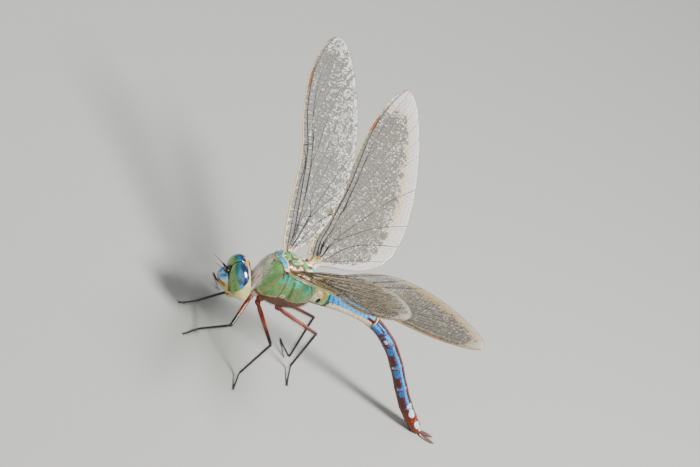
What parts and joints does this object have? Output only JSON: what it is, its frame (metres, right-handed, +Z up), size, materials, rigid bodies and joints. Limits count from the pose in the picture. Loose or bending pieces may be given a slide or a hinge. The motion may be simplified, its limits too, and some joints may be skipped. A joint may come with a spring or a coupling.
{
  "type": "dragonfly",
  "caption": "Still model of a female emperor dragonfly standing with wings raised and abdomen curved down to the floor.",
  "frame": {"origin": "middle of the model's plan, on the floor that the feet and the tail appendages rest on", "axes": "+Z up, head towards -X, tail towards +X, the insect's left side towards -Y; the wings span +Y and -Y"},
  "size_m": [0.076, 0.0878, 0.0521],
  "materials": {
    "face": "satin cream and ochre",
    "eye": "glossy blue and green",
    "neck": "matt, downy",
    "thorax": "satin apple green",
    "abdomen": "glossy red brown with blue marks",
    "leg": "glossy dark brown",
    "wing": "clear, netted with brown veins"
  },
  "bodies": {
    "root": {"abdomen_s01": "abdomen", "abdomen_s02": "abdomen", "abdomen_s03": "abdomen", "abdomen_s04": "abdomen", "abdomen_s05": "abdomen", "abdomen_s06": "abdomen", "abdomen_s07": "abdomen", "abdomen_s08": "abdomen", "abdomen_s09": "abdomen", "abdomen_s10": "abdomen", "head": "face", "mouthparts": "face", "eye_left": "eye", "eye_right": "eye", "antenna_left": "leg", "antenna_right": "leg", "prothorax": "neck", "thorax": "thorax", "cercus_left": "leg", "cercus_right": "leg", "wing_fore_left": "wing", "wing_hind_left": "wing", "femur_fore_left": "leg", "tibia_fore_left": "leg", "tarsus_fore_left": "leg", "femur_mid_left": "leg", "tibia_mid_left": "leg", "tarsus_mid_left": "leg", "femur_hind_left": "leg", "tibia_hind_left": "leg", "tarsus_hind_left": "leg", "wing_fore_right": "wing", "wing_hind_right": "wing", "femur_fore_right": "leg", "tibia_fore_right": "leg", "tarsus_fore_right": "leg", "femur_mid_right": "leg", "tibia_mid_right": "leg", "tarsus_mid_right": "leg", "femur_hind_right": "leg", "tibia_hind_right": "leg", "tarsus_hind_right": "leg"}
  },
  "joints": []
}
